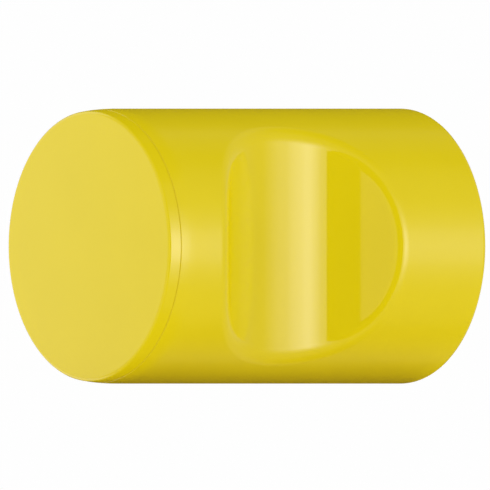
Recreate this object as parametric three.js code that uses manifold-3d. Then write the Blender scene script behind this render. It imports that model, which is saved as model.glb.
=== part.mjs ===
// A cylindrical furniture knob with two finger recesses.
//
// Three pieces: a moulded body, a cap that snaps into its cored front, and a brass threaded insert in its back.
// Units are millimetres. The knob's axis is Y: its back face lies in y = 0, where a door or drawer front would
// be, and its front faces -Y. The finger recesses open towards +X and -X, and +Z is up.

import * as THREE from 'three';
import { mergeVertices } from 'three/addons/utils/BufferGeometryUtils.js';
import { ParametricGeometry } from 'three/addons/geometries/ParametricGeometry.js';
import Module from 'manifold-3d';

// Overall size
const LENGTH = 36;
const RADIUS = 12.5;
const BACK_EDGE_RADIUS = 0.5;

// The front end: a gentle crown that runs into a small edge radius
const CROWN_RADIUS = 19;
const CROWN_ANGLE = THREE.MathUtils.degToRad(8.5);
const FRONT_EDGE_RADIUS = 0.3;

// The seam between the cap and the body, a fine V with its bottom at SEAM_DEPTH
const CAP_RIM = 1.28;
const SEAM_HALF_WIDTH = 0.06;
const SEAM_DEPTH = 0.08;

// Each finger recess is a cylindrical cut, parallel to Z, with a rolling-ball radius round its rim
const RECESS_RADIUS = 11.5;
const RECESS_DEPTH = 5.5;
const RECESS_FROM_FRONT = 16.48;
const RECESS_RIM_RADIUS = 1.8;
const RIM_OVERSHOOT = 0.5;
const RIM_LIFT = 0.03;

// The core: a wide pocket behind the cap, and a narrow hole through the waist between the recesses
const POCKET_RADIUS = 10.15;
const POCKET_FLOOR = 4.6;
const CORE_RADIUS = 4.5;
const CORE_END = 24;
const CORE_END_ROUND = 1.5;

// The cap's spigot, and the bead that snaps into a groove in the pocket
const CAP_THICKNESS = 1.9;
const SPIGOT_CLEARANCE = 0.1;
const SPIGOT_WALL = 1.4;
const SPIGOT_END = 4.2;
const BEAD_HEIGHT = 0.2;
const BEAD_HALF_WIDTH = 0.35;
const BEAD_FROM_FRONT = 3.3;

// The back: a shallow relief, so that the knob bears on its outer land
const LAND_INNER_RADIUS = 10.2;
const BOSS_RADIUS = 4.4;
const RELIEF_DEPTH = 0.4;

// The insert: an M4 x 0.7 bush with two knurled bands
const INSERT_RADIUS = 3;
const INSERT_CORE_RADIUS = 2.65;
const INSERT_LENGTH = 9;
const INSERT_RECESS = 0.15;
const INSERT_CLEARANCE = 0.05;
const KNURL_BAND = 3.4;
const KNURL_DEPTH = 0.2;
const KNURL_TEETH = 24;
const THREAD_PITCH = 0.7;
const THREAD_MINOR_RADIUS = 1.62;
const THREAD_DEPTH = 0.36;
const THREAD_MOUTH_HALF_WIDTH = 0.315;
const THREAD_ROOT_HALF_WIDTH = 0.042;
const THREAD_OVERLAP = 0.1;
const MOUTH_CHAMFER = 0.45;

// How finely round shapes are divided
const OUTER_SIDES = 96;
const INNER_SIDES = 48;
const INSERT_SIDES = 24;
const RECESS_SIDES = 120;
const RIM_STEPS = 60;
const RIM_ARC_STEPS = 4;
const CROWN_STEPS = 4;
const BACK_EDGE_STEPS = 4;
const FRONT_EDGE_STEPS = 3;
const CAP_CROWN_STEPS = 3;
const CORE_END_STEPS = 3;
const THREAD_STEPS_PER_TURN = 12;

// Vertices nearer than this are one, and cutters run this far past the material they cut
const MERGE_DISTANCE = 1e-5;
const CUTTER_OVERSHOOT = 1;

const FRONT = -LENGTH;
const QUARTER = Math.PI / 2;

const wasm = await Module();
wasm.setup();

// Points along an arc about (x, y), as radius and height pairs for a lathe profile.
function arc(x, y, radius, from, to, steps) {
  const curve = new THREE.EllipseCurve(x, y, radius, radius, from, to, to < from);
  return curve.getPoints(steps);
}

function point(radius, height) {
  return new THREE.Vector2(radius, height);
}

// A manifold solid from a closed geometry, with shared vertices merged and collapsed triangles dropped.
function solid(geometry) {
  const bare = geometry.clone();
  bare.deleteAttribute('normal');
  bare.deleteAttribute('uv');
  const merged = mergeVertices(bare, MERGE_DISTANCE);
  const index = merged.index.array;
  const triangles = [];
  for (let i = 0; i < index.length; i += 3) {
    const [a, b, c] = index.slice(i, i + 3);
    if (a !== b && b !== c && c !== a) {
      triangles.push(a, b, c);
    }
  }
  return new wasm.Manifold(new wasm.Mesh({
    numProp: 3,
    vertProperties: Float32Array.from(merged.attributes.position.array),
    triVerts: Uint32Array.from(triangles),
  }));
}

function geometryOf(manifold) {
  const mesh = manifold.getMesh();
  const geometry = new THREE.BufferGeometry();
  geometry.setAttribute('position', new THREE.BufferAttribute(mesh.vertProperties, 3));
  geometry.setIndex(new THREE.BufferAttribute(mesh.triVerts, 1));
  const flat = geometry.toNonIndexed();
  flat.computeVertexNormals();
  return flat;
}

function turned(profile, sides) {
  return solid(new THREE.LatheGeometry(profile, sides));
}

// The crown's arc between two distances behind the front face, listed from the front backwards.
const edgeLength = FRONT_EDGE_RADIUS * (1 - Math.sin(CROWN_ANGLE));
const crownLength = CROWN_RADIUS * Math.sin(CROWN_ANGLE) + edgeLength;

function crown(from, to, steps) {
  const angle = (distance) => -Math.asin((crownLength - distance) / CROWN_RADIUS);
  return arc(RADIUS - CROWN_RADIUS, FRONT + crownLength, CROWN_RADIUS, angle(from), angle(to), steps);
}

// A cylinder along Z that cuts the recess on the side named by sign.
function recess(sign) {
  const height = 2 * (RADIUS + CUTTER_OVERSHOOT);
  const cutter = new THREE.CylinderGeometry(RECESS_RADIUS, RECESS_RADIUS, height, RECESS_SIDES);
  cutter.rotateX(QUARTER);
  cutter.translate(sign * (RADIUS - RECESS_DEPTH + RECESS_RADIUS), FRONT + RECESS_FROM_FRONT, 0);
  return solid(cutter);
}

// The sliver that a ball rolling round the recess's rim leaves outside itself. The ball touches the outer
// cylinder from inside and the recess's cylinder from outside, so its centre keeps a fixed distance from both
// axes. The section at each step is the ball's arc between the two contacts, closed by a point in the open.
// It is lifted a hair off both surfaces, so that the cut crosses them cleanly instead of grazing them.
function rim(sign) {
  const recessAxis = RADIUS - RECESS_DEPTH + RECESS_RADIUS;
  const outerReach = RADIUS - RECESS_RIM_RADIUS;
  const recessReach = RECESS_RADIUS + RECESS_RIM_RADIUS;
  const topHeight = Math.sqrt(outerReach ** 2 - (recessAxis - recessReach) ** 2);
  const sectionSteps = RIM_ARC_STEPS + 2;
  const centre = new THREE.Vector3();
  const toOuter = new THREE.Vector3();
  const toRecess = new THREE.Vector3();
  const lift = new THREE.Vector3();
  const surface = (u, v, target) => {
    const turn = -2 * Math.PI * u;
    const step = v * sectionSteps;
    const z = topHeight * Math.sin(turn);
    const x = Math.sqrt(outerReach ** 2 - z ** 2);
    const y = Math.sqrt(Math.max(0, recessReach ** 2 - (recessAxis - x) ** 2));
    centre.set(x, Math.sign(Math.cos(turn)) * y, z);
    toOuter.set(centre.x, 0, centre.z).normalize();
    toRecess.set(recessAxis - centre.x, -centre.y, 0).normalize();
    if (step > RIM_ARC_STEPS && step < sectionSteps) {
      const corner = (RECESS_RIM_RADIUS + RIM_OVERSHOOT) / (1 + toOuter.dot(toRecess));
      target.addVectors(toOuter, toRecess).multiplyScalar(corner);
    } else {
      const bend = toOuter.angleTo(toRecess);
      const angle = bend * (step / RIM_ARC_STEPS) * (step <= RIM_ARC_STEPS ? 1 : 0);
      target.copy(toOuter).multiplyScalar(Math.sin(bend - angle));
      target.addScaledVector(toRecess, Math.sin(angle));
      target.multiplyScalar(RECESS_RIM_RADIUS / Math.sin(bend));
    }
    lift.addVectors(toOuter, toRecess).setLength(RIM_LIFT);
    target.add(centre).add(lift);
    target.y += FRONT + RECESS_FROM_FRONT;
  };
  const cutter = solid(new ParametricGeometry(surface, RIM_STEPS, sectionSteps));
  return sign > 0 ? cutter : cutter.mirror([1, 0, 0]);
}

function knobBody() {
  const seam = CAP_RIM + SEAM_HALF_WIDTH;
  const seamRadius = crown(seam, seam, 1)[0].x;
  const outside = [
    point(0, FRONT + CAP_RIM),
    point(seamRadius - SEAM_DEPTH, FRONT + CAP_RIM),
    ...crown(seam, crownLength, CROWN_STEPS),
    ...arc(RADIUS - BACK_EDGE_RADIUS, -BACK_EDGE_RADIUS, BACK_EDGE_RADIUS, 0, QUARTER, BACK_EDGE_STEPS),
    point(LAND_INNER_RADIUS, 0),
    point(LAND_INNER_RADIUS, -RELIEF_DEPTH),
    point(BOSS_RADIUS, -RELIEF_DEPTH),
    point(BOSS_RADIUS, 0),
    point(0, 0),
  ];
  const bead = FRONT + BEAD_FROM_FRONT;
  const grooveRadius = POCKET_RADIUS + BEAD_HEIGHT;
  const coreEndX = CORE_RADIUS - CORE_END_ROUND;
  const coreEndY = FRONT + CORE_END - CORE_END_ROUND;
  const core = [
    point(0, FRONT),
    point(POCKET_RADIUS, FRONT),
    point(POCKET_RADIUS, bead - BEAD_HALF_WIDTH - BEAD_HEIGHT),
    point(grooveRadius, bead - BEAD_HALF_WIDTH),
    point(grooveRadius, bead + BEAD_HALF_WIDTH),
    point(POCKET_RADIUS, bead + BEAD_HALF_WIDTH + BEAD_HEIGHT),
    point(POCKET_RADIUS, FRONT + POCKET_FLOOR),
    point(CORE_RADIUS, FRONT + POCKET_FLOOR),
    ...arc(coreEndX, coreEndY, CORE_END_ROUND, 0, QUARTER, CORE_END_STEPS),
    point(0, FRONT + CORE_END),
  ];
  const seatRadius = INSERT_RADIUS + INSERT_CLEARANCE;
  const seatEnd = -INSERT_RECESS - INSERT_LENGTH - INSERT_CLEARANCE;
  const seat = [
    point(0, seatEnd),
    point(seatRadius, seatEnd),
    point(seatRadius, CUTTER_OVERSHOOT),
    point(0, CUTTER_OVERSHOOT),
  ];
  let body = turned(outside, OUTER_SIDES);
  body = body.subtract(turned(core, INNER_SIDES)).subtract(turned(seat, INNER_SIDES));
  for (const sign of [1, -1]) {
    body = body.subtract(recess(sign)).subtract(rim(sign));
  }
  return geometryOf(body);
}

function frontCap() {
  const seam = CAP_RIM - SEAM_HALF_WIDTH;
  const seamRadius = crown(seam, seam, 1)[0].x;
  const spigotRadius = POCKET_RADIUS - SPIGOT_CLEARANCE;
  const bead = FRONT + BEAD_FROM_FRONT;
  const edgeX = RADIUS - CROWN_RADIUS + (CROWN_RADIUS - FRONT_EDGE_RADIUS) * Math.cos(CROWN_ANGLE);
  const profile = [
    point(0, FRONT),
    ...arc(edgeX, FRONT + FRONT_EDGE_RADIUS, FRONT_EDGE_RADIUS, -QUARTER, -CROWN_ANGLE, FRONT_EDGE_STEPS),
    ...crown(edgeLength, seam, CAP_CROWN_STEPS).slice(1),
    point(seamRadius - SEAM_DEPTH, FRONT + CAP_RIM),
    point(spigotRadius, FRONT + CAP_RIM),
    point(spigotRadius, bead - BEAD_HALF_WIDTH - BEAD_HEIGHT),
    point(spigotRadius + BEAD_HEIGHT, bead - BEAD_HALF_WIDTH),
    point(spigotRadius + BEAD_HEIGHT, bead + BEAD_HALF_WIDTH),
    point(spigotRadius, bead + BEAD_HALF_WIDTH + BEAD_HEIGHT),
    point(spigotRadius - BEAD_HEIGHT, FRONT + SPIGOT_END),
    point(spigotRadius - SPIGOT_WALL, FRONT + SPIGOT_END),
    point(spigotRadius - SPIGOT_WALL, FRONT + CAP_THICKNESS),
    point(0, FRONT + CAP_THICKNESS),
  ];
  return geometryOf(turned(profile, OUTER_SIDES));
}

// One knurled band: a toothed disc along Y from the given height.
function knurl(from) {
  const outline = new THREE.Shape();
  for (let i = 0; i < 2 * KNURL_TEETH; i += 1) {
    const radius = i % 2 ? INSERT_RADIUS : INSERT_RADIUS - KNURL_DEPTH;
    const turn = i * Math.PI / KNURL_TEETH;
    outline[i ? 'lineTo' : 'moveTo'](radius * Math.cos(turn), radius * Math.sin(turn));
  }
  const band = new THREE.ExtrudeGeometry(outline, { depth: KNURL_BAND, bevelEnabled: false });
  band.rotateX(-QUARTER);
  band.translate(0, from, 0);
  return solid(band);
}

// The screw thread's helical groove, which tapers to a point past each end of the bush.
function thread() {
  const turns = (INSERT_LENGTH + 2 * THREAD_PITCH) / THREAD_PITCH;
  const start = -INSERT_RECESS - INSERT_LENGTH - THREAD_PITCH;
  const inner = THREAD_MINOR_RADIUS - THREAD_OVERLAP;
  const outer = THREAD_MINOR_RADIUS + THREAD_DEPTH;
  const section = [
    [0, -THREAD_MOUTH_HALF_WIDTH],
    [1, -THREAD_ROOT_HALF_WIDTH],
    [1, THREAD_ROOT_HALF_WIDTH],
    [0, THREAD_MOUTH_HALF_WIDTH],
    [0, -THREAD_MOUTH_HALF_WIDTH],
  ];
  const surface = (u, v, target) => {
    const turn = 2 * Math.PI * turns * u;
    const taper = Math.min(1, 2 * turns * Math.min(u, 1 - u));
    const [reach, rise] = section[Math.round(v * (section.length - 1))];
    const radius = inner + reach * taper * (outer - inner);
    const height = start + THREAD_PITCH * turns * u + rise * taper;
    target.set(radius * Math.sin(turn), height, radius * Math.cos(turn));
  };
  return solid(new ParametricGeometry(surface, Math.round(turns * THREAD_STEPS_PER_TURN), section.length - 1));
}

function threadedInsert() {
  const back = -INSERT_RECESS;
  const front = back - INSERT_LENGTH;
  const mouthRadius = THREAD_MINOR_RADIUS + MOUTH_CHAMFER;
  const bush = turned([
    point(THREAD_MINOR_RADIUS, front + MOUTH_CHAMFER),
    point(mouthRadius, front),
    point(INSERT_CORE_RADIUS, front),
    point(INSERT_CORE_RADIUS, back),
    point(mouthRadius, back),
    point(THREAD_MINOR_RADIUS, back - MOUTH_CHAMFER),
    point(THREAD_MINOR_RADIUS, front + MOUTH_CHAMFER),
  ], INSERT_SIDES);
  const bore = turned([
    point(0, front - CUTTER_OVERSHOOT),
    point(mouthRadius, front - CUTTER_OVERSHOOT),
    point(mouthRadius, back + CUTTER_OVERSHOOT),
    point(0, back + CUTTER_OVERSHOOT),
  ], INSERT_SIDES);
  const knurls = knurl(front).add(knurl(back - KNURL_BAND)).subtract(bore);
  return geometryOf(bush.add(knurls).subtract(thread()));
}

// Through-coloured polyamide, moulded to a gloss, and turned brass
const polyamide = { color: 0xdcc32c, roughness: 0.25, metalness: 0 };
const brass = { color: 0xc9a24a, roughness: 0.35, metalness: 1 };

const group = new THREE.Group();
const pieces = [
  ['knob_body', knobBody(), polyamide],
  ['front_cap', frontCap(), polyamide],
  ['threaded_insert', threadedInsert(), brass],
];
for (const [name, geometry, finish] of pieces) {
  const mesh = new THREE.Mesh(geometry, new THREE.MeshStandardMaterial(finish));
  mesh.name = name;
  group.add(mesh);
}

export default group;
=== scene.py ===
"""The looks of a cylindrical furniture knob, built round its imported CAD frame.

The knob's axis is Y, with its back face in y = 0 and its front facing -Y. Finger recesses open towards +X
and -X. Each piece is made of patches: grids of points, with the normals of the surface that they lie on. On
the front crown and in the recesses these lean a little further, or less far, than the surface does.
"""

import math

import bpy
import numpy as np
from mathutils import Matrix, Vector


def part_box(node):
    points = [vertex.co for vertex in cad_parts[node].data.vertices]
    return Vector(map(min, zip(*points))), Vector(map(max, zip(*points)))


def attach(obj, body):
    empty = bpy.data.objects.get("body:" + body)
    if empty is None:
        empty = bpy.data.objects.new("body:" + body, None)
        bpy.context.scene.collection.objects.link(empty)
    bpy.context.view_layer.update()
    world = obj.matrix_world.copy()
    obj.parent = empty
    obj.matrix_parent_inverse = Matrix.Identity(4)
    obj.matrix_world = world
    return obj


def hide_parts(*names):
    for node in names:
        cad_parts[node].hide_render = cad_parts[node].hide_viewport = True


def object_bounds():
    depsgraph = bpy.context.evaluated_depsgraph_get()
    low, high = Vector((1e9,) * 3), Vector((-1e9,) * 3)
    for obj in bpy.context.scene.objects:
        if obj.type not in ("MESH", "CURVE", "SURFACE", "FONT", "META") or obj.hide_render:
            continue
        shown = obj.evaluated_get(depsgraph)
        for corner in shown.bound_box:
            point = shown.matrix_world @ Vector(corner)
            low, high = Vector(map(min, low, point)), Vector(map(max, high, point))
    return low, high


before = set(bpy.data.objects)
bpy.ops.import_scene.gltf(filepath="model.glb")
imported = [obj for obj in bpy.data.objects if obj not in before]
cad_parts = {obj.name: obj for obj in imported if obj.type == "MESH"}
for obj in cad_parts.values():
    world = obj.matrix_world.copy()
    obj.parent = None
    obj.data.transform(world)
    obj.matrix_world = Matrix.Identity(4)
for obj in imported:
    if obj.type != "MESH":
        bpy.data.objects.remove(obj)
cad_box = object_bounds()

MM = 0.001
FULL_TURN = 2 * math.pi
QUARTER = math.pi / 2

# Overall sizes in mm, from the frame
FRONT = cad_box[0].y / MM
BACK = cad_box[1].y / MM
RADIUS = cad_box[1].z / MM
INSERT_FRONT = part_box("threaded_insert")[0].y / MM
INSERT_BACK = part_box("threaded_insert")[1].y / MM

# The front end: a face crowned by a hair, a small edge radius, a gentle crown and the V of the seam. The
# crown's normals lean CROWN_LEAN times as far as its surface does, up to a limit.
FACE_CROWN = 0.03
FRONT_EDGE_RADIUS = 0.3
CROWN_RADIUS = 19.0
CROWN_LENGTH = 3.05
CROWN_LEAN = 2.3
CROWN_LEAN_LIMIT = math.radians(14)
SEAM_HALF_WIDTH = 0.06
SEAM_DEPTH = 0.08
SEAM_Y = FRONT + 1.28

# The back edge and the finger recesses, whose normals lean towards +Y no further than RECESS_LEAN_LIMIT
BACK_EDGE_RADIUS = 0.5
RECESS_RADIUS = 11.5
RECESS_DEPTH = 5.5
RECESS_Y = FRONT + 16.48
RIM_RADIUS = 1.8
RECESS_LEAN_LIMIT = math.radians(46)

# The core: a wide pocket behind the cap, and a narrow hole through the waist
POCKET_RADIUS = 10.15
POCKET_FLOOR_Y = FRONT + 4.6
CORE_RADIUS = 4.5
CORE_END_Y = FRONT + 24
CORE_END_ROUND = 1.5

# The cap's spigot, and the bead that snaps into a groove in the pocket
PLATE_Y = FRONT + 1.9
SPIGOT_CLEARANCE = 0.1
SPIGOT_WALL = 1.4
SPIGOT_END_Y = FRONT + 4.2
BEAD_HEIGHT = 0.2
BEAD_HALF_WIDTH = 0.35
BEAD_Y = FRONT + 3.3

# The back: an outer land, a shallow relief and a boss round the insert's seat
LAND_INNER_RADIUS = 10.2
BOSS_RADIUS = 4.4
RELIEF_DEPTH = 0.4
SEAT_CLEARANCE = 0.05
EDGE_BREAK = 0.12

# The insert: two knurled bands, a plain neck and a threaded bore
INSERT_RADIUS = 2.97
INSERT_END_RADIUS = 2.6
INSERT_NECK_RADIUS = 2.65
KNURL_BAND = 3.4
KNURL_DEPTH = 0.2
KNURL_TEETH = 24
KNURL_CHAMFER = 0.3
THREAD_PITCH = 0.7
THREAD_MINOR_RADIUS = 1.62
THREAD_DEPTH = 0.36
THREAD_CREST = 0.15
THREAD_ROOT = 0.9
MOUTH_CHAMFER = 0.45

# How finely the surfaces are divided, and how near each other, in mm, their points are welded
SIDE_STEPS = 80
RING_STEPS = 2 * SIDE_STEPS
LOOP_STEPS = 4 * SIDE_STEPS
WALL_ROWS = 32
RIM_ROWS = 14
FLOOR_ROWS = 12
CROWN_ROWS = 8
FACE_ROWS = 24
EDGE_ROWS = 8
TOOTH_STEPS = 4
THREAD_ROWS_PER_PITCH = 12
BEND_STEP = math.radians(12)
WELD = 1e-5

# The materials. Colours come in pairs that a noise mixes, and roughness in ranges that it moves through.
# Noise scales are in cells per metre, and bump heights in metres. The sheen keeps grazing views yellow.
NOISE_LOW = 0.3
NOISE_HIGH = 0.7
POLYAMIDE_COLOURS = [(0.682, 0.540, 0.0034, 1), (0.696, 0.552, 0.0042, 1)]
POLYAMIDE_ROUGHNESS = (0.04, 0.07)
POLYAMIDE_IOR = 1.53
POLYAMIDE_MOTTLE = 160.0
POLYAMIDE_GRAIN = 2600.0
POLYAMIDE_PEEL = 420.0
POLYAMIDE_PEEL_HEIGHT = 0.3e-6
SHEEN_WEIGHT = 0.6
SHEEN_ROUGHNESS = 0.3
SHEEN_COLOUR = (0.8, 0.61, 0.004, 1)
BRASS_COLOURS = [(0.72, 0.49, 0.18, 1), (0.82, 0.60, 0.27, 1)]
BRASS_ROUGHNESS = (0.22, 0.36)
BRASS_MOTTLE = 500.0
BRASS_RINGS = 9000.0
BRASS_RING_HEIGHT = 3e-6

# The floor, which glows a little so that the underside isn't lost
FLOOR_HALF_SIDE = 1.5
FLOOR_GAP = 1e-5
FLOOR_COLOUR = (0.9, 0.9, 0.9, 1)
FLOOR_GLOW = 0.32
WHITE = (1, 1, 1, 1)

# The studio. BACKDROP is what the camera sees, and TENT is what lights dull surfaces, by height. Gloss
# mirrors PANELS and LAMP, by degrees from +Y towards +X, each of them faded by height. Heights are sines of
# elevation, the same above and below the horizon.
BACKDROP = 0.992
TENT = [(0, 1.12), (0.5, 1.06), (1, 0.95)]
PANELS = [
    (0, 0.5), (8, 0.38), (20, 0.33), (45, 0.38), (60, 0.42), (100.1, 0.4), (100.3, 0), (131.5, 0),
    (132, 0.44), (140, 0.58), (156, 0.58), (175, 0.5), (229, 0.5), (233.1, 0.97), (238, 1.5), (255, 1.5),
    (285, 0.08), (307, 0.02), (320, 0.04), (335, 0.3), (350, 0.5), (360, 0.5),
]
PANEL_HEIGHT = [(0, 1), (0.5, 0.9), (0.69, 0.72), (0.8, 0.28), (0.9, 0.13), (1, 0.1)]
LAMP = [
    (0, 0), (28, 0.02), (38, 0.3), (46, 0.76), (53, 1.2), (60, 1.5), (66, 2.28), (72, 2.9), (78, 3.45),
    (82.5, 3.95), (87, 3.4), (92, 2.4), (98.5, 1.15), (100.1, 1.1), (100.3, 0), (360, 0),
]
LAMP_HEIGHT = [(0, 1), (0.125, 0.85), (0.25, 0.45), (0.42, 0.12), (0.57, 0), (1, 0)]

# The camera: level and without perspective, for an image IMAGE_WIDTH pixels wide. Lengths are in metres.
IMAGE_WIDTH = 490
PIXELS_PER_METRE = 11000
CAMERA_BACK = Vector((0.8, -0.6, 0))
CAMERA_RIGHT = Vector((0.6, 0.8, 0))
CAMERA_DISTANCE = 0.5
CAMERA_CLIP = (0.01, 5)
AIM_LEFT = 0.000145
AIM_UP = 0.0001

# Patches: each is (points, normals), two arrays of rows x columns x 3, in millimetres


def spun(path, normals):
    """The patch that a path of (radius, y) makes round the Y axis, with (radial, y) normals along it."""
    angle = np.linspace(0, FULL_TURN, RING_STEPS + 1)
    radial = np.stack([np.cos(angle), 0 * angle, np.sin(angle)], -1)
    along = np.array([0, 1, 0])

    def spin(pairs):
        pairs = np.array(pairs, float)
        return pairs[:, :1, None] * radial + pairs[:, 1:, None] * along

    return spin(path), spin(normals)


def outward(angles):
    """Unit (radial, y) vectors, at angles from radial towards +Y."""
    return np.stack([np.cos(angles), np.sin(angles)], -1)


def arc(centre, radius, start, end, rows, lean=None):
    """A convex arc about centre, spun round the Y axis. lean turns its angles into those of its normals."""
    angles = np.linspace(start, end, rows + 1)
    normals = outward(lean(angles) if lean else angles)
    return spun(np.array(centre) + radius * outward(angles), normals)


def profile(*corners):
    """Straight lines through (radius, y, rounding) corners, spun round the Y axis.

    The open side is on the right of the way they run.
    """
    points = np.array([corner[:2] for corner in corners], float)
    ways = np.diff(points, axis=0)
    ways /= np.linalg.norm(ways, axis=1)[:, None]
    rights = np.stack([ways[:, 1], -ways[:, 0]], -1)
    patches = []
    start = points[0]
    for i, way in enumerate(ways):
        end = points[i + 1]
        rounding = corners[i + 1][2] if i + 1 < len(ways) else 0
        if not rounding:
            patches.append(spun([start, end], [rights[i]] * 2))
            start = end
            continue
        bend = math.acos(np.clip(way @ ways[i + 1], -1, 1))
        turn = math.copysign(1, way[0] * ways[i + 1][1] - way[1] * ways[i + 1][0])
        setback = rounding * math.tan(bend / 2)
        before, after = end - setback * way, end + setback * ways[i + 1]
        patches.append(spun([start, before], [rights[i]] * 2))
        share = np.linspace(0, 1, math.ceil(bend / BEND_STEP) + 1)[:, None]
        normals = np.sin((1 - share) * bend) * rights[i] + np.sin(share * bend) * rights[i + 1]
        normals /= math.sin(bend)
        patches.append(spun(before - turn * rounding * (rights[i] - normals), normals))
        start = after
    return patches


def mirrored(patches):
    """The same patches on the other side, across x = 0."""
    flip = np.array([-1, 1, 1])
    return [(points * flip, normals * flip) for points, normals in patches]


def flat_normals(points):
    """Outward normals from a patch's points, where rows climb +Y and columns turn from +X to +Z."""
    return np.cross(np.gradient(points, axis=0), np.gradient(points, axis=1))


def patch_faces(points, normals):
    """The patch's quads as rows of four indices, turned so that they face the way its normals point."""
    rows, columns = points.shape[:2]
    index = np.arange(rows * columns).reshape(rows, columns)
    quads = np.stack([index[:-1, :-1], index[:-1, 1:], index[1:, 1:], index[1:, :-1]], -1).reshape(-1, 4)
    corners = points.reshape(-1, 3)[quads]
    facing = np.cross(corners[:, 2] - corners[:, 0], corners[:, 3] - corners[:, 1])
    agrees = (facing * normals.reshape(-1, 3)[quads].sum(1)).sum() > 0
    return quads if agrees else quads[:, ::-1]


def piece(name, patches, material):
    """One closed mesh from patches, welded where they meet, that stands for the CAD node called name."""
    points = np.concatenate([p.reshape(-1, 3) for p, _ in patches])
    normals = np.concatenate([n.reshape(-1, 3) for _, n in patches])
    starts = np.cumsum([0] + [p.shape[0] * p.shape[1] for p, _ in patches])
    quads = np.concatenate([patch_faces(*patch) + start for patch, start in zip(patches, starts)])
    _, first, welded = np.unique(np.round(points / WELD), axis=0, return_index=True, return_inverse=True)
    welded = welded.reshape(-1)
    polygons, corner_normals = [], []
    for quad in quads:
        corners = [v for v, before in zip(quad, np.roll(quad, 1)) if welded[v] != welded[before]]
        if len(corners) >= 3:
            polygons.append(welded[corners].tolist())
            corner_normals.extend(normals[corners].tolist())
    mesh = bpy.data.meshes.new(name)
    mesh.from_pydata((points[first] * MM).tolist(), [], polygons)
    mesh.shade_smooth()
    mesh.normals_split_custom_set([Vector(normal).normalized() for normal in corner_normals])
    mesh.materials.append(material)
    made = bpy.data.objects.new(name + "_surface", mesh)
    bpy.context.scene.collection.objects.link(made)
    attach(made, "root")
    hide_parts(name)
    return made


# The body

crown_end_y = FRONT + CROWN_LENGTH


def crown_angle(y):
    return -math.asin((crown_end_y - y) / CROWN_RADIUS)


def crown_reach(y):
    """The outside radius at a height y on the crown."""
    return RADIUS - CROWN_RADIUS * (1 - math.cos(crown_angle(y)))


def crown_lean(angles):
    """Normals that lean further than the crown's surface does, for the wide highlight of a blended edge."""
    return np.maximum(CROWN_LEAN * angles, -CROWN_LEAN_LIMIT)


def crown(start_y, end_y):
    centre = (RADIUS - CROWN_RADIUS, crown_end_y)
    return arc(centre, CROWN_RADIUS, crown_angle(start_y), crown_angle(end_y), CROWN_ROWS, crown_lean)


def rim_path():
    """The centre of a ball rolling round a recess's rim, and its directions to the two surfaces it touches.

    The ball touches the outer cylinder from inside and the recess's cylinder from outside, so its centre
    keeps a fixed distance from both axes.
    """
    turn = np.linspace(0, FULL_TURN, LOOP_STEPS + 1)
    recess_axis = RADIUS - RECESS_DEPTH + RECESS_RADIUS
    outer_reach = RADIUS - RIM_RADIUS
    recess_reach = RECESS_RADIUS + RIM_RADIUS
    z = math.sqrt(outer_reach**2 - (recess_axis - recess_reach) ** 2) * np.sin(turn)
    x = np.sqrt(outer_reach**2 - z**2)
    y = np.sqrt(np.maximum(0, recess_reach**2 - (recess_axis - x) ** 2)) * np.sign(np.cos(turn))
    centre = np.stack([x, RECESS_Y + y, z], -1)
    to_outer = np.stack([x, 0 * x, z], -1) / outer_reach
    to_recess = np.stack([recess_axis - x, -y, 0 * x], -1) / recess_reach
    return centre, to_outer, to_recess


def less_steep(normals):
    """Normals that lean towards +Y no further than the recess's limit.

    A steeper front wall, seen edge-on, would pass light along itself from one grazing bounce to the next.
    """
    lean = np.minimum(np.arcsin(normals[..., 1]), RECESS_LEAN_LIMIT)
    level = normals * (1, 0, 1)
    level = level / np.linalg.norm(level, axis=-1, keepdims=True)
    return np.cos(lean)[..., None] * level + np.sin(lean)[..., None] * (0, 1, 0)


def recessed_side(front_y, back_y):
    """The +X half of the outside between two heights: the cylinder, the recess's rim and its floor."""
    centre, to_outer, to_recess = rim_path()

    # The cylinder, unrolled to angle and height, from the rim out to the half's rectangular outline. Round
    # that outline, 8 half-sides long, across and along run between -1 and 1.
    around = np.linspace(0, 8, LOOP_STEPS + 1)
    across = np.clip(np.abs((around - 2) % 8 - 4) - 2, -1, 1)
    along = np.clip(np.abs(around - 4) - 2, -1, 1)
    rim_angle = np.arctan2(to_outer[:, 2], to_outer[:, 0])
    edge_y = RECESS_Y + np.where(along > 0, along * (back_y - RECESS_Y), along * (RECESS_Y - front_y))
    share = np.linspace(0, 1, WALL_ROWS + 1)[:, None]
    angle = rim_angle + share * (across * QUARTER - rim_angle)
    height = centre[:, 1] + share * (edge_y - centre[:, 1])
    wall_normals = np.stack([np.cos(angle), 0 * angle, np.sin(angle)], -1)
    wall = RADIUS * wall_normals + np.stack([0 * angle, height, 0 * angle], -1)

    # The rim's radius, from one contact of the ball to the other
    bend = np.arccos((to_outer * to_recess).sum(-1))[:, None]
    share = np.linspace(0, 1, RIM_ROWS + 1)[:, None, None]
    rim_normals = (np.sin((1 - share) * bend) * to_outer + np.sin(share * bend) * to_recess) / np.sin(bend)
    rim = centre + RIM_RADIUS * rim_normals

    # The recess's floor, in straight lines from the rim's upper half to its lower half
    half = LOOP_STEPS // 2 + 1
    upper, lower = rim[-1, :half], rim[-1, ::-1][:half]
    share = np.linspace(0, 1, FLOOR_ROWS + 1)[:, None, None]
    floor = upper + share * (lower - upper)
    floor_normals = np.broadcast_to(to_recess[:half], floor.shape)
    return [(wall, wall_normals), (rim, less_steep(rim_normals)), (floor, less_steep(floor_normals))]


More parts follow.
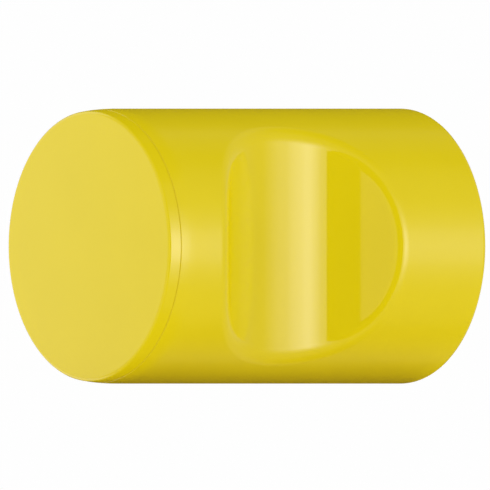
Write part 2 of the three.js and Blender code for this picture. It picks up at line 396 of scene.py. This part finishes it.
def body_patches():
    lip_y = SEAM_Y + SEAM_HALF_WIDTH
    back_edge_y = BACK - BACK_EDGE_RADIUS
    groove = POCKET_RADIUS + BEAD_HEIGHT
    slope = BEAD_HALF_WIDTH + BEAD_HEIGHT
    seat = INSERT_RADIUS + SEAT_CLEARANCE
    seat_y = INSERT_FRONT - SEAT_CLEARANCE
    side = recessed_side(crown_end_y, back_edge_y)
    return [
        *profile(
            (0, CORE_END_Y, 0),
            (CORE_RADIUS, CORE_END_Y, CORE_END_ROUND),
            (CORE_RADIUS, POCKET_FLOOR_Y, EDGE_BREAK),
            (POCKET_RADIUS, POCKET_FLOOR_Y, EDGE_BREAK),
            (POCKET_RADIUS, BEAD_Y + slope, 0),
            (groove, BEAD_Y + BEAD_HALF_WIDTH, 0),
            (groove, BEAD_Y - BEAD_HALF_WIDTH, 0),
            (POCKET_RADIUS, BEAD_Y - slope, 0),
            (POCKET_RADIUS, SEAM_Y, EDGE_BREAK),
            (crown_reach(lip_y) - SEAM_DEPTH, SEAM_Y, 0),
            (crown_reach(lip_y), lip_y, 0),
        ),
        crown(lip_y, crown_end_y),
        *side,
        *mirrored(side),
        arc((RADIUS - BACK_EDGE_RADIUS, back_edge_y), BACK_EDGE_RADIUS, 0, QUARTER, EDGE_ROWS),
        *profile(
            (RADIUS - BACK_EDGE_RADIUS, BACK, 0),
            (LAND_INNER_RADIUS, BACK, EDGE_BREAK),
            (LAND_INNER_RADIUS, BACK - RELIEF_DEPTH, EDGE_BREAK),
            (BOSS_RADIUS, BACK - RELIEF_DEPTH, EDGE_BREAK),
            (BOSS_RADIUS, BACK, EDGE_BREAK),
            (seat, BACK, EDGE_BREAK / 2),
            (seat, seat_y, 0),
            (0, seat_y, 0),
        ),
    ]


# The cap


def edge_lean(angles):
    """Normals that end where the crown's leaning ones begin."""
    return np.minimum(angles, -CROWN_LEAN_LIMIT)


def cap_patches():
    """The face is a very wide dome. It is tangent to the front edge's arc, and that arc to the crown."""
    lip_y = SEAM_Y - SEAM_HALF_WIDTH
    edge_y = FRONT + FACE_CROWN + FRONT_EDGE_RADIUS
    slope_angle = math.asin((edge_y - crown_end_y) / (CROWN_RADIUS - FRONT_EDGE_RADIUS))
    edge_reach = RADIUS - CROWN_RADIUS + (CROWN_RADIUS - FRONT_EDGE_RADIUS) * math.cos(slope_angle)
    edge_height = edge_y - FRONT
    dome_radius = (edge_reach**2 + edge_height**2 - FRONT_EDGE_RADIUS**2) / (2 * FACE_CROWN)
    face_end = math.asin(edge_reach / (dome_radius - FRONT_EDGE_RADIUS)) - QUARTER
    spigot = POCKET_RADIUS - SPIGOT_CLEARANCE
    slope = BEAD_HALF_WIDTH + BEAD_HEIGHT
    return [
        arc((0, FRONT + dome_radius), dome_radius, -QUARTER, face_end, FACE_ROWS),
        arc((edge_reach, edge_y), FRONT_EDGE_RADIUS, face_end, slope_angle, EDGE_ROWS, edge_lean),
        crown(crown_end_y + CROWN_RADIUS * math.sin(slope_angle), lip_y),
        *profile(
            (crown_reach(lip_y), lip_y, 0),
            (crown_reach(lip_y) - SEAM_DEPTH, SEAM_Y, 0),
            (spigot, SEAM_Y, EDGE_BREAK),
            (spigot, BEAD_Y - slope, 0),
            (spigot + BEAD_HEIGHT, BEAD_Y - BEAD_HALF_WIDTH, 0),
            (spigot + BEAD_HEIGHT, BEAD_Y + BEAD_HALF_WIDTH, 0),
            (spigot, BEAD_Y + slope, 0),
            (spigot - BEAD_HEIGHT, SPIGOT_END_Y, 0),
            (spigot - SPIGOT_WALL, SPIGOT_END_Y, EDGE_BREAK),
            (spigot - SPIGOT_WALL, PLATE_Y, EDGE_BREAK),
            (0, PLATE_Y, 0),
        ),
    ]


# The insert


def sleeve(heights, radii):
    """A grid of points round the Y axis, from one radius for each height and angle."""
    angle = np.linspace(0, FULL_TURN, radii.shape[1])
    y = np.broadcast_to(np.array(heights)[:, None], radii.shape)
    return np.stack([radii * np.cos(angle), y, radii * np.sin(angle)], -1)


def knurled_band(start_y, start_radius, end_y, end_radius):
    """The sections of one band, chamfered at its ends, as (height, radius, share of the knurl's depth)."""
    return [
        (start_y, start_radius, 0),
        (start_y + KNURL_CHAMFER, INSERT_RADIUS, 1),
        (end_y - KNURL_CHAMFER, INSERT_RADIUS, 1),
        (end_y, end_radius, 0),
    ]


def insert_patches():
    columns = TOOTH_STEPS * KNURL_TEETH + 1
    angle = np.linspace(0, FULL_TURN, columns)
    tooth = np.abs((angle / FULL_TURN * KNURL_TEETH) % 1 * 2 - 1)

    # The outside: a band at each end, and the plain neck between them
    sections = [
        *knurled_band(INSERT_FRONT, INSERT_END_RADIUS, INSERT_FRONT + KNURL_BAND, INSERT_NECK_RADIUS),
        *knurled_band(INSERT_BACK - KNURL_BAND, INSERT_NECK_RADIUS, INSERT_BACK, INSERT_END_RADIUS),
    ]
    heights, radius, share = np.array(sections).T
    outside = sleeve(heights, radius[:, None] - KNURL_DEPTH * share[:, None] * tooth)

    # The bore: a thread that winds once round in each pitch, cut away by a cone at each mouth
    rows = math.ceil((INSERT_BACK - INSERT_FRONT) / THREAD_PITCH * THREAD_ROWS_PER_PITCH)
    heights = np.linspace(INSERT_FRONT, INSERT_BACK, rows + 1)
    turn = (heights[:, None] / THREAD_PITCH + angle / FULL_TURN) % 1
    rise = np.clip((1 - np.abs(2 * turn - 1) - THREAD_CREST) / (THREAD_ROOT - THREAD_CREST), 0, 1)
    to_mouth = np.minimum(heights - INSERT_FRONT, INSERT_BACK - heights)[:, None]
    cone = THREAD_MINOR_RADIUS + MOUTH_CHAMFER - to_mouth
    bore = sleeve(heights, np.maximum(THREAD_MINOR_RADIUS + THREAD_DEPTH * rise, cone))
    inward = -flat_normals(bore)
    front_end = np.stack([bore[0], outside[0]])
    back_end = np.stack([outside[-1], bore[-1]])
    down = np.broadcast_to([0.0, -1.0, 0.0], front_end.shape)
    return [
        (outside, flat_normals(outside)),
        (bore, inward),
        (front_end, down),
        (back_end, -down),
    ]


# Materials


def shader(name):
    """A new material, with its node tree and its Principled shader."""
    material = bpy.data.materials.new(name)
    material.use_nodes = True
    return material, material.node_tree, material.node_tree.nodes["Principled BSDF"]


def node(tree, kind, inputs=None, **settings):
    """A new node, with its settings, and its inputs as values or as sockets to link."""
    made = tree.nodes.new(kind)
    for key, value in settings.items():
        setattr(made, key, value)
    for key, value in (inputs or {}).items():
        if isinstance(value, bpy.types.NodeSocket):
            tree.links.new(value, made.inputs[key])
        else:
            made.inputs[key].default_value = value
    return made


def remap(tree, value, low, high):
    """A noise value, spread between two numbers."""
    spread = {"Value": value, "From Min": NOISE_LOW, "From Max": NOISE_HIGH, "To Min": low, "To Max": high}
    return node(tree, "ShaderNodeMapRange", spread).outputs["Result"]


def noise(tree, kind="3D", **inputs):
    return node(tree, "ShaderNodeTexNoise", inputs, noise_dimensions=kind).outputs["Fac"]


def mottled(tree, value, colours):
    """Two colours, mixed by a noise value."""
    mix = node(tree, "ShaderNodeMix", {"Factor": remap(tree, value, 0.0, 1.0)}, data_type="RGBA")
    mix.inputs["A"].default_value, mix.inputs["B"].default_value = colours
    return mix.outputs["Result"]


def link_surface(tree, bsdf, colour, roughness, height, distance):
    """Links a colour, a roughness and a bump to a shader. distance is what a height of 1 stands for."""
    bump = node(tree, "ShaderNodeBump", {"Height": height, "Distance": distance})
    tree.links.new(colour, bsdf.inputs["Base Color"])
    tree.links.new(roughness, bsdf.inputs["Roughness"])
    tree.links.new(bump.outputs["Normal"], bsdf.inputs["Normal"])


def polyamide():
    """Glossy moulded polyamide, coloured right through, with the slight waviness of a moulded surface."""
    material, tree, bsdf = shader("polyamide")
    place = node(tree, "ShaderNodeTexCoord").outputs["Object"]
    cloud = noise(tree, Vector=place, Scale=POLYAMIDE_MOTTLE, Detail=3.0)
    grain = noise(tree, Vector=place, Scale=POLYAMIDE_GRAIN, Detail=2.0)
    peel = noise(tree, Vector=place, Scale=POLYAMIDE_PEEL, Detail=1.0)
    colour = mottled(tree, cloud, POLYAMIDE_COLOURS)
    roughness = remap(tree, grain, *POLYAMIDE_ROUGHNESS)
    link_surface(tree, bsdf, colour, roughness, peel, POLYAMIDE_PEEL_HEIGHT)
    bsdf.inputs["IOR"].default_value = POLYAMIDE_IOR
    bsdf.inputs["Sheen Weight"].default_value = SHEEN_WEIGHT
    bsdf.inputs["Sheen Roughness"].default_value = SHEEN_ROUGHNESS
    bsdf.inputs["Sheen Tint"].default_value = SHEEN_COLOUR
    return material


def brass():
    """Turned brass, with the fine rings that the tool leaves."""
    material, tree, bsdf = shader("brass")
    place = node(tree, "ShaderNodeTexCoord").outputs["Object"]
    across = node(tree, "ShaderNodeVectorMath", {0: place, 1: (1, 0, 1)}, operation="MULTIPLY").outputs[0]
    reach = node(tree, "ShaderNodeVectorMath", {0: across}, operation="LENGTH").outputs["Value"]
    rings = noise(tree, "1D", W=reach, Scale=BRASS_RINGS, Detail=2.0)
    cloud = noise(tree, Vector=place, Scale=BRASS_MOTTLE, Detail=3.0)
    colour = mottled(tree, cloud, BRASS_COLOURS)
    roughness = remap(tree, cloud, *BRASS_ROUGHNESS)
    link_surface(tree, bsdf, colour, roughness, rings, BRASS_RING_HEIGHT)
    bsdf.inputs["Metallic"].default_value = 1.0
    return material


plastic = polyamide()
piece("knob_body", body_patches(), plastic)
piece("front_cap", cap_patches(), plastic)
piece("threaded_insert", insert_patches(), brass())


# The floor, the studio and the camera


def ramp(tree, value, stops):
    """A smooth curve through (position, level) stops, for a value from 0 to 1."""
    made = node(tree, "ShaderNodeFloatCurve", {"Value": value})
    curve = made.mapping.curves[0]
    while len(curve.points) < len(stops):
        curve.points.new(0.5, 0.5)
    for point, (position, level) in zip(curve.points, stops):
        point.location = (position, level)
        point.handle_type = "AUTO_CLAMPED"
    made.mapping.use_clip = False
    made.mapping.update()
    return made.outputs["Value"]


def round_ramp(tree, turn, stops):
    """The same through (degrees, level) stops, for a turn from 0 to 1."""
    return ramp(tree, turn, [(degrees / 360, level) for degrees, level in stops])


def math_node(tree, operation, *values):
    return node(tree, "ShaderNodeMath", dict(enumerate(values)), operation=operation).outputs[0]


def choice(tree, condition, when_false, when_true):
    mix = node(tree, "ShaderNodeMix", {"Factor": condition, "A": when_false, "B": when_true})
    return mix.outputs[0]


def studio():
    """White all round to the eye, a soft tent for dull surfaces, and soft panels for gloss to mirror."""
    world = bpy.data.worlds.new("studio")
    bpy.context.scene.world = world
    world.use_nodes = True
    tree = world.node_tree
    tree.nodes.clear()
    way = node(tree, "ShaderNodeTexCoord").outputs["Generated"]
    split = node(tree, "ShaderNodeSeparateXYZ", {0: way})
    height = math_node(tree, "ABSOLUTE", split.outputs["Z"])
    turn = math_node(tree, "ARCTAN2", split.outputs["X"], split.outputs["Y"])
    turn = math_node(tree, "WRAP", turn, FULL_TURN, 0.0)
    turn = math_node(tree, "DIVIDE", turn, FULL_TURN)

    panels = math_node(tree, "MULTIPLY", round_ramp(tree, turn, PANELS), ramp(tree, height, PANEL_HEIGHT))
    lamp = math_node(tree, "MULTIPLY", round_ramp(tree, turn, LAMP), ramp(tree, height, LAMP_HEIGHT))
    in_gloss = math_node(tree, "ADD", panels, lamp)
    path = node(tree, "ShaderNodeLightPath")
    level = choice(tree, path.outputs["Is Glossy Ray"], ramp(tree, height, TENT), in_gloss)
    level = choice(tree, path.outputs["Is Camera Ray"], level, BACKDROP)
    light = node(tree, "ShaderNodeBackground", {"Color": WHITE, "Strength": level})
    output = node(tree, "ShaderNodeOutputWorld")
    tree.links.new(light.outputs[0], output.inputs["Surface"])
    world.cycles.sampling_method = "NONE"


def floor():
    """A plain pale floor just under the knob, which gloss doesn't mirror."""
    low, high, level = -FLOOR_HALF_SIDE, FLOOR_HALF_SIDE, cad_box[0].z - FLOOR_GAP
    corners = [(low, low, level), (high, low, level), (high, high, level), (low, high, level)]
    mesh = bpy.data.meshes.new("floor")
    mesh.from_pydata(corners, [], [(0, 1, 2, 3)])
    material, _, bsdf = shader("floor")
    bsdf.inputs["Base Color"].default_value = FLOOR_COLOUR
    bsdf.inputs["Roughness"].default_value = 1.0
    bsdf.inputs["Specular IOR Level"].default_value = 0.0
    bsdf.inputs["Emission Color"].default_value = WHITE
    bsdf.inputs["Emission Strength"].default_value = FLOOR_GLOW
    mesh.materials.append(material)
    made = bpy.data.objects.new("floor", mesh)
    bpy.context.scene.collection.objects.link(made)
    made.visible_glossy = False


def camera():
    """Looks level at the front and the +X side, with no perspective."""
    data = bpy.data.cameras.new("camera")
    data.type = "ORTHO"
    data.ortho_scale = IMAGE_WIDTH / PIXELS_PER_METRE
    data.clip_start, data.clip_end = CAMERA_CLIP
    made = bpy.data.objects.new("camera", data)
    bpy.context.scene.collection.objects.link(made)
    bpy.context.scene.camera = made
    middle = (cad_box[0] + cad_box[1]) / 2
    aim = middle - AIM_LEFT * CAMERA_RIGHT + Vector((0, 0, AIM_UP))
    made.location = aim + CAMERA_DISTANCE * CAMERA_BACK
    made.rotation_euler = CAMERA_BACK.to_track_quat("Z", "Y").to_euler()


studio()
floor()
camera()

bpy.context.scene.view_settings.view_transform = "Standard"
